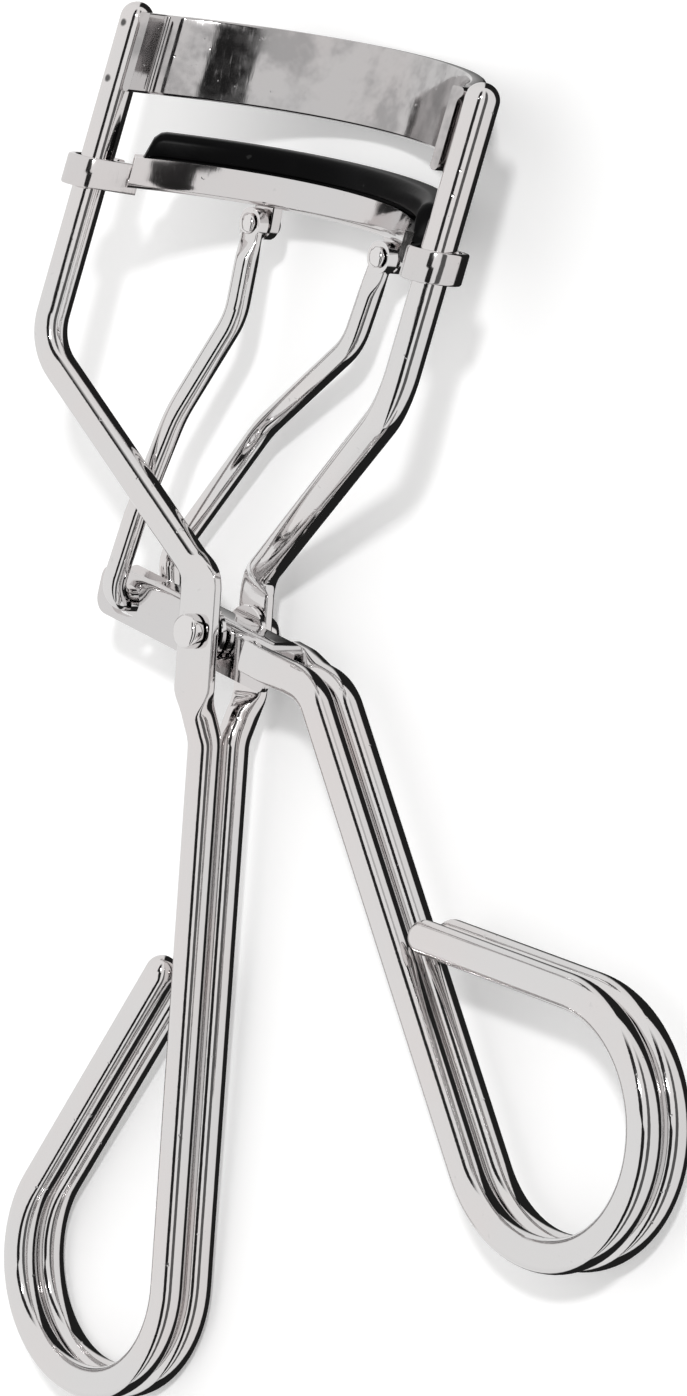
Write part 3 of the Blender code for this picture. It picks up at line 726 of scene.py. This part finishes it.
def channel_mesh():
    """The lever's pressed channel: a U open downwards, with free cheeks at its left end, slots and a hole."""
    half = CHANNEL_W / 2
    inner = half - CHANNEL_T
    bend_in = CHANNEL_BEND_R - CHANNEL_T + 0.15
    outline = [(-half, CHANNEL_BOTTOM)]
    outline += arc2(CHANNEL_BEND_R - half, CHANNEL_TOP - CHANNEL_BEND_R, CHANNEL_BEND_R, 180, 90, 8)
    outline += arc2(half - CHANNEL_BEND_R, CHANNEL_TOP - CHANNEL_BEND_R, CHANNEL_BEND_R, 90, 0, 8)
    outline += [(half, CHANNEL_BOTTOM), (inner, CHANNEL_BOTTOM)]
    ceiling = CHANNEL_TOP - CHANNEL_T
    outline += arc2(inner - bend_in, ceiling - bend_in, bend_in, 0, 90, 4)
    outline += arc2(bend_in - inner, ceiling - bend_in, bend_in, 90, 180, 4)
    outline += [(-inner, CHANNEL_BOTTOM)]
    turn = Matrix.Rotation(CHANNEL_ANGLE, 3, "Z")
    rings = [[turn @ Vector((x, y, z)) for z, y in outline] for x in (CHANNEL_LEFT, CHANNEL_RIGHT)]
    past = half + CUT_PAST
    end_x, end_r = CHANNEL_LEFT + CHANNEL_END_R, CHANNEL_END_R
    side = arc2(end_x, CHANNEL_TOP - end_r, end_r, 90, 180, 10)
    side += arc2(end_x, CHANNEL_BOTTOM + end_r, end_r, 180, 270, 10)
    corner_x, corner_r = CHANNEL_RIGHT - CHANNEL_CORNER_R, CHANNEL_CORNER_R
    side += arc2(corner_x, CHANNEL_BOTTOM + corner_r, corner_r, 270, 360, 4)
    side += arc2(corner_x, CHANNEL_TOP - corner_r, corner_r, 0, 90, 4)
    keep = stood_up(side, -past, past, turn)
    mouth = arc2(WEB_LEFT - 0.4, 0, inner, -90, 90, 12)
    mouth += [(CHANNEL_LEFT - CUT_PAST, inner), (CHANNEL_LEFT - CUT_PAST, -inner)]
    levels = (CHANNEL_BOTTOM - CUT_PAST, CHANNEL_TOP + CUT_PAST)
    notch = lofted([[turn @ Vector((x, y, z)) for x, z in mouth] for y in levels])
    slot_r = size("pusher") / 2 + SLOT_CLEAR
    slot = arc2(-PUSHER_ARM + SLOT_PLAY, 0, slot_r, -90, 90, 16)
    slot += arc2(-PUSHER_ARM - SLOT_PLAY, 0, slot_r, 90, 270, 16)
    slots = stood_up(slot, -past, past)
    hole = disc((0, 0, 0), RIVET_D / 2 + RIVET_CLEAR, 2 * past)
    return shaped(shaped(lofted(rings), "INTERSECT", keep), "DIFFERENCE", notch, slots, hole)


def handle_wire(name, depth, node):
    """One of the lever's wires: a flattened end on the cheek, the knee, the handle and the loop."""
    flat_z = depth * LEVER_FLAT_Z
    z = depth * pair_z()
    slope = KNEE.y / KNEE.x
    loop = loop_path(KNEE, RIGHT_HANDLE_ANGLE, 1, size("right_loop"), RIGHT_LOOP_AT, RIGHT_LOOP_END, z)
    corners = [
        Vector((LEVER_WIRE_START, LEVER_WIRE_START * slope * LEVER_FLAT_RISE, flat_z)),
        Vector((CHANNEL_RIGHT, CHANNEL_RIGHT * slope * LEVER_FLAT_RISE, flat_z)),
        Vector((LEVER_PAIR_X, LEVER_PAIR_X * slope, z)),
        Vector((KNEE.x, KNEE.y, z)),
        loop[0],
    ]
    path = filleted(corners, [LEVER_FLAT_R, LEVER_PAIR_R, KNEE_R])
    path = divided(path, WIRE_RUN, lambda p: p.x < KNEE.x) + loop[1:]
    sections = []
    for p in path:
        t = (p.x - LEVER_FLAT_FROM) / (LEVER_ROUND_FROM - LEVER_FLAT_FROM)
        sections.append((eased(LEVER_FLAT[0], size("wire"), t), eased(LEVER_FLAT[1], size("wire"), t),
                         eased(FLAT_ROUNDNESS, 1, t)))
    placed(name, swept(path, flat_normals(path), sections), "polished_wire", "lever", node)


def rail_mesh():
    """The sliding jaw's channel, pressed with round bends, open upwards for the pad."""
    half = RAIL_W / 2
    inner = half - RAIL_T
    out_r, in_r = RAIL_BEND_R, RAIL_INNER_R
    profile = [(half, RAIL_H)]
    profile += arc2(half - out_r, out_r, out_r, 0, -90, 6)
    profile += arc2(out_r - half, out_r, out_r, -90, -180, 6)
    profile += [(-half, RAIL_H), (-inner, RAIL_H)]
    profile += arc2(in_r - inner, RAIL_T + in_r, in_r, 180, 270, 3)
    profile += arc2(inner - in_r, RAIL_T + in_r, in_r, 270, 360, 3)
    profile += [(inner, RAIL_H)]
    end = arc_angle(RAIL_HALF_CHORD)
    angles = [end * (2 * k / RAIL_STEPS - 1) for k in range(RAIL_STEPS + 1)]
    return lofted([[arc_point(angle, v, u) for u, v in profile] for angle in angles])


def ring_mesh(side):
    """A strip from the rail's end, past the front of the guide and round it."""
    guide = on_guide(side, 0)
    radius = size("wire") / 2 + RING_CLEAR + RING_T / 2
    start = arc_point(side * (arc_angle(RAIL_HALF_CHORD) - 0.04), 0)
    first, last = (143, -110) if side > 0 else (37, 290)
    path = [Vector((start.x, guide.y, start.z))]
    path += [guide + Vector((x, 0, z)) for x, z in arc2(0, 0, radius, first, last, RING_STEPS)]
    profile = rounded_box(RING_T, RING_H, RING_EDGE_R, 3)
    return lofted([[p + n * u + GUIDE_DIR * v for u, v in profile]
                   for p, n in zip(path, level_normals(path))])


def lug_mesh(x):
    """A plate below the rail with a round lower end."""
    centre = lug_centre(x)
    outline = arc2(0, 0, LUG_W / 2, 180, 360, 16)
    outline += [(LUG_W / 2, LUG_DROP + RAIL_T / 2), (-LUG_W / 2, LUG_DROP + RAIL_T / 2)]
    face, shrunk = LUG_T / 2, 1 - LUG_EDGE / (LUG_W / 2)
    levels = ((-face, shrunk), (LUG_EDGE - face, 1), (face - LUG_EDGE, 1), (face, shrunk))
    return lofted([[centre + Vector((u * scale, v * scale, z)) for u, v in outline] for z, scale in levels])


def pad_mesh():
    """The pad: a moulded strip with a crowned top and rounded ends, pressed into the rail."""
    half = RAIL_W / 2 - RAIL_T - PAD_FIT
    low = RAIL_T + PAD_FIT
    shoulder = RAIL_H + PAD_FIT
    top = RAIL_H + PAD_RISE
    head = RAIL_W / 2 - PAD_OVERHANG
    lip_r, lip_v = PAD_OVERHANG, shoulder + 0.3
    crown_r, crown_v = PAD_CROWN_R, top - PAD_CROWN_R
    profile = [(-half, low), (half, low), (half, shoulder)]
    profile += arc2(head - lip_r, lip_v, lip_r, -90, 0, 4)
    profile += arc2(head - crown_r, crown_v, crown_r, 0, 90, 8)
    profile += arc2(crown_r - head, crown_v, crown_r, 90, 180, 8)
    profile += arc2(lip_r - head, lip_v, lip_r, 180, 270, 4)
    profile += [(-half, shoulder)]
    end = arc_angle(RAIL_HALF_CHORD) - PAD_INSET / ARC_R
    round_end = PAD_ROUND_END / ARC_R
    rings = []
    for k in range(STRIP_STEPS + 1):
        a = end * (2 * k / STRIP_STEPS - 1)
        near = min(1.0, (end - abs(a)) / round_end)
        crown = math.sqrt(max(0.0, 1 - (1 - near) ** 2)) * 0.55 + 0.45
        rings.append([arc_point(a, low + (v - low) * crown, u * (0.6 + 0.4 * crown)) for u, v in profile])
    return lofted(rings)


def pin_shape():
    """A jaw pin's outline: domed heads in front of the eye and behind the lug."""
    shaft, head = PIN_R, PIN_HEAD_R
    front = LUG_T / 2 + EYE_GAP + EYE_T + PIN_PAST
    back = -LUG_T / 2 - PIN_PAST
    return [(0.1, front + 0.35), (head * 0.6, front + 0.33), (head * 0.9, front + 0.2), (head, front + 0.05),
            (head, front), (shaft, front), (shaft, back), (head, back), (head * 0.9, back - 0.2),
            (head * 0.6, back - 0.33), (0.1, back - 0.35)]


def pusher_mesh():
    """The pusher: one wire from eye to eye, through both of the lever's slots."""
    beside = Vector((0, 0, LUG_T / 2 + EYE_GAP + EYE_T / 2))
    eyes = [lug_centre(x) + beside for x in (LEFT_LUG_X, RIGHT_LUG_X)]
    left, right = eyes
    arm = -PUSHER_ARM
    z = CHANNEL_W / 2 + PUSHER_SIDE_GAP + size("pusher") / 2
    points = [
        left,
        Vector((left.x + 1.0, left.y - 6.6, left.z + 1.1)),
        Vector((arm + 1.6, 14.0, 0.9)),
        Vector((arm + 0.6, 6.5, 2.2)),
        Vector((arm, 0, z)),
        Vector((arm, 0, -z)),
        Vector((arm - 1.0, 3.0, -z)),
        Vector((arm + 6.9, 14.3, -z)),
        Vector((right.x - 1.6, right.y - 6.4, right.z - 0.1)),
        right,
    ]
    radii = [4.0, 8.0, 8.0, PUSHER_BEND_R, PUSHER_BEND_R, 1.6, 8.0, 4.0]

    def from_eye(p):
        return min((p - eye).length for eye in eyes)

    path = divided(filleted(points, radii, SMALL_BEND_STEP), EYE_RUN, lambda p: from_eye(p) < EYE_FINE)
    flat, run = EYE_FLAT
    sections = []
    for p in path:
        t = (from_eye(p) - flat) / run
        sections.append((eased(EYE_D * EYE_NECK, size("pusher"), t), eased(EYE_T, size("pusher"), t),
                         eased(EYE_ROUNDNESS, 1, t)))
    body = swept(path, carried_normals(path), sections, domed=False)
    return shaped(body, "UNION", *[disc(eye, EYE_D / 2, EYE_T) for eye in eyes])


# Stage --------------------------------------------------------------------------------------------------
CAMERA_PLACE = Vector((270.13, 60.44, 234.35))
CAMERA_RIGHT = Vector((0.64209, 0.16773, -0.74805))
CAMERA_UP = Vector((-0.24249, 0.97011, 0.00938))
IMAGE_HEIGHT = 1396
FOCAL_LENGTH = 5126.7
SENSOR = 36.0
KEY_DIRECTION = Vector((0.55, 0.43, 0.72))
KEY_DISTANCE = 0.9
KEY_SIZE = 0.07
KEY_POWER = 3.6
FLOOR_REACH = 3.0
FLOOR_GLOW = 0.20
TENT_LIGHT = 0.90
# Dark parts of the tent, as angles about Y from +X in radians: start, fully dark, fading and end
TENT_GAP = (0.73, 0.76, 1.07, 1.10)
TENT_LOW_GAP = (0.08, 0.14, 0.42, 0.48)
TENT_UNDER = (-2.50, -2.35, -1.02, -0.90)
# The upper gap stands higher beyond this slope towards the jaws, by this angle
TENT_STEP = (0.06, 0.11)
TENT_STEP_UP = 0.18
TENT_END = (0.75, 0.95)


def add_camera():
    """A long lens, above the curler and to its right."""
    right = CAMERA_RIGHT.normalized()
    back = right.cross(CAMERA_UP).normalized()
    up = back.cross(right)
    turn = Matrix((right, up, back)).transposed().to_4x4()
    data = bpy.data.cameras.new("camera")
    data.sensor_width = SENSOR
    data.lens = SENSOR * FOCAL_LENGTH / IMAGE_HEIGHT
    data.clip_start = 0.01
    obj = bpy.data.objects.new("camera", data)
    bpy.context.scene.collection.objects.link(obj)
    obj.matrix_world = LAID_DOWN @ Matrix.Translation(CAMERA_PLACE * MM) @ turn
    bpy.context.scene.camera = obj


def add_floor():
    """A white floor, left out of the plating's reflections, where the tent stands for it."""
    bm = bmesh.new()
    corners = ((-1, -1), (1, -1), (1, 1), (-1, 1))
    bm.faces.new([bm.verts.new((x * FLOOR_REACH, y * FLOOR_REACH, 0)) for x, y in corners])
    mesh = bpy.data.meshes.new("floor")
    bm.to_mesh(mesh)
    bm.free()
    obj = bpy.data.objects.new("floor", mesh)
    bpy.context.scene.collection.objects.link(obj)
    mat, root, shader = new_material("floor")
    where = root.node("ShaderNodeTexCoord", out="Object")
    tone = root.node("ShaderNodeRGB")
    tone.socket.default_value = (*finish_of("floor"), 1)
    soft = grain(root, where, 3.0).smooth(0.2, 0.9)
    mat.node_tree.links.new(tone.tint((0.88, 0.88, 0.88, 1), soft).socket, shader.inputs["Base Color"])
    shader.inputs["Emission Color"].default_value = (1, 1, 1, 1)
    shader.inputs["Emission Strength"].default_value = FLOOR_GLOW
    shader.inputs["Roughness"].default_value = 1.0
    shader.inputs["Specular IOR Level"].default_value = 0.0
    mesh.materials.append(mat)
    obj.visible_glossy = False


def add_key():
    """A small square lamp, which casts the shadow."""
    data = bpy.data.lights.new("key", "AREA")
    data.shape = "RECTANGLE"
    data.size = KEY_SIZE
    data.size_y = KEY_SIZE
    data.energy = KEY_POWER
    obj = bpy.data.objects.new("key", data)
    bpy.context.scene.collection.objects.link(obj)
    direction = KEY_DIRECTION.normalized()
    obj.location = direction * KEY_DISTANCE
    obj.rotation_euler = direction.to_track_quat("Z", "Y").to_euler()


def dark_band(turn, edges):
    """1 between the middle two angles, and 0 outside the outer two."""
    start, full, fading, end = edges
    return turn.smooth(start, full) * (1 - turn.smooth(fading, end))


def add_world():
    """A pale tent with two dark gaps and a dark underside, which draw the crisp lines in the plating."""
    world = bpy.data.worlds.new("tent")
    bpy.context.scene.world = world
    world.use_nodes = True
    tree = world.node_tree
    root = Wire(tree, None)
    way = root.node("ShaderNodeTexCoord", out="Generated")
    x = root.node("ShaderNodeSeparateXYZ", {"Vector": way})
    y = Wire(tree, x.socket.node.outputs["Y"])
    z = Wire(tree, x.socket.node.outputs["Z"])
    turn = z.math("ARCTAN2", z, x)
    raised = turn - y.smooth(*TENT_STEP) * TENT_STEP_UP
    gaps = dark_band(raised, TENT_GAP) + dark_band(turn, TENT_LOW_GAP) * 0.9
    dark = gaps * (1 - y.smooth(*TENT_END)) + dark_band(turn, TENT_UNDER)
    light = TENT_LIGHT - z.smooth(0.3, -0.2) * 0.05
    strength = light * (1 - dark * 0.98)
    background = tree.nodes["Background"]
    background.inputs["Color"].default_value = (1.0, 0.995, 0.99, 1)
    tree.links.new(strength.socket, background.inputs["Strength"])


# Operators ----------------------------------------------------------------------------------------------
class CURLER_OT_frame_wires(bpy.types.Operator):
    """Draws the two frame wires with their ears and the left finger loop"""

    bl_idname = "curler.frame_wires"
    bl_label = "Frame Wires"

    def execute(self, context):
        leg_wire("left_leg_wire", -1, 1, LEFT_BEND, "front_ear", "frame_wire_front", "welded_wire")
        leg_wire("right_leg_wire", 1, -1, RIGHT_BEND, "back_ear", "frame_wire_back", "polished_wire")
        return {"FINISHED"}


class CURLER_OT_upper_jaw(bpy.types.Operator):
    """Draws the fixed upper jaw"""

    bl_idname = "curler.upper_jaw"
    bl_label = "Upper Jaw"

    def execute(self, context):
        upper_strip()
        return {"FINISHED"}


class CURLER_OT_pivot(bpy.types.Operator):
    """Draws the pivot rivet and its two washers"""

    bl_idname = "curler.pivot"
    bl_label = "Pivot"

    def execute(self, context):
        placed("pivot_rivet_turned", turned(rivet_shape(), (0, 0, 0)), "bright_rivet", "frame",
               "pivot_rivet")
        rim, face, edge = WASHER_D / 2, WASHER_T / 2, WASHER_EDGE
        outline = [(rim - edge, face), (rim, face - edge), (rim, edge - face), (rim - edge, -face)]
        for name, sign in (("front", 1), ("back", -1)):
            centre = (0, 0, sign * WASHER_Z)
            hole = disc(centre, RIVET_D / 2 + RIVET_CLEAR, WASHER_T + 2 * CUT_PAST)
            mesh = shaped(turned(outline, centre), "DIFFERENCE", hole)
            placed(f"spacer_{name}", mesh, "bright_rivet", "frame", f"pivot_washer_{name}")
        return {"FINISHED"}


class CURLER_OT_lever(bpy.types.Operator):
    """Draws the lever: its channel and the two handle wires with the right finger loop"""

    bl_idname = "curler.lever"
    bl_label = "Lever"

    def execute(self, context):
        channel = placed("rocker_channel", channel_mesh(), "polished_strip", "lever", "lever_channel")
        soften(channel, CHANNEL_EDGE)
        handle_wire("handle_wire_front", 1, "lever_wire_front")
        handle_wire("handle_wire_back", -1, "lever_wire_back")
        return {"FINISHED"}


class CURLER_OT_sliding_jaw(bpy.types.Operator):
    """Draws the sliding lower jaw with its rings, lugs, pins and pad"""

    bl_idname = "curler.sliding_jaw"
    bl_label = "Sliding Jaw"

    def execute(self, context):
        parts = [ring_mesh(-1), ring_mesh(1), lug_mesh(LEFT_LUG_X), lug_mesh(RIGHT_LUG_X)]
        jaw = placed("sliding_jaw", shaped(rail_mesh(), "UNION", *parts), "polished_strip", "moving_jaw",
                     "lower_jaw")
        soften(jaw, STRIP_EDGE)
        pad = placed("lash_pad", pad_mesh(), "satin_silicone", "moving_jaw", "silicone_pad")
        for name, x in (("left", LEFT_LUG_X), ("right", RIGHT_LUG_X)):
            placed(f"lug_pin_{name}", turned(pin_shape(), lug_centre(x), PIN_SIDES), "bright_rivet",
                   "moving_jaw", f"jaw_pin_{name}")
        return {"FINISHED"}


class CURLER_OT_pusher(bpy.types.Operator):
    """Draws the pusher wire between the lever and the sliding jaw"""

    bl_idname = "curler.pusher"
    bl_label = "Pusher"

    def execute(self, context):
        placed("push_wire", pusher_mesh(), "polished_wire", "moving_jaw", "pusher_wire")
        return {"FINISHED"}


class CURLER_OT_stage(bpy.types.Operator):
    """Sets up the floor, the tent, the lamp and the camera"""

    bl_idname = "curler.stage"
    bl_label = "Stage"

    def execute(self, context):
        add_floor()
        add_world()
        add_key()
        add_camera()
        context.scene.view_settings.view_transform = "Standard"
        return {"FINISHED"}


OPERATORS = (
    CURLER_OT_frame_wires,
    CURLER_OT_upper_jaw,
    CURLER_OT_pivot,
    CURLER_OT_lever,
    CURLER_OT_sliding_jaw,
    CURLER_OT_pusher,
    CURLER_OT_stage,
)


class CURLER_PT_panel(bpy.types.Panel):
    """Lists the curler's steps, sizes and finishes"""

    bl_idname = "CURLER_PT_panel"
    bl_label = "Eyelash Curler"
    bl_space_type = "VIEW_3D"
    bl_region_type = "UI"
    bl_category = "Curler"

    def draw(self, context):
        column = self.layout.column()
        for step in OPERATORS:
            column.operator(step.bl_idname)
        for group in (context.scene.curler_sizes, context.scene.curler_finish):
            for name in group.bl_rna.properties.keys():
                if name not in ("rna_type", "name"):
                    column.prop(group, name)


CLASSES = (CurlerSizes, CurlerFinish, *OPERATORS, CURLER_PT_panel)


def register():
    for cls in CLASSES:
        bpy.utils.register_class(cls)
    bpy.types.Scene.curler_sizes = bpy.props.PointerProperty(type=CurlerSizes)
    bpy.types.Scene.curler_finish = bpy.props.PointerProperty(type=CurlerFinish)


def unregister():
    del bpy.types.Scene.curler_finish
    del bpy.types.Scene.curler_sizes
    for cls in reversed(CLASSES):
        bpy.utils.unregister_class(cls)


def main():
    register()
    for step in OPERATORS:
        group, name = step.bl_idname.split(".")
        getattr(getattr(bpy.ops, group), name)()


if __name__ == "__main__":
    main()
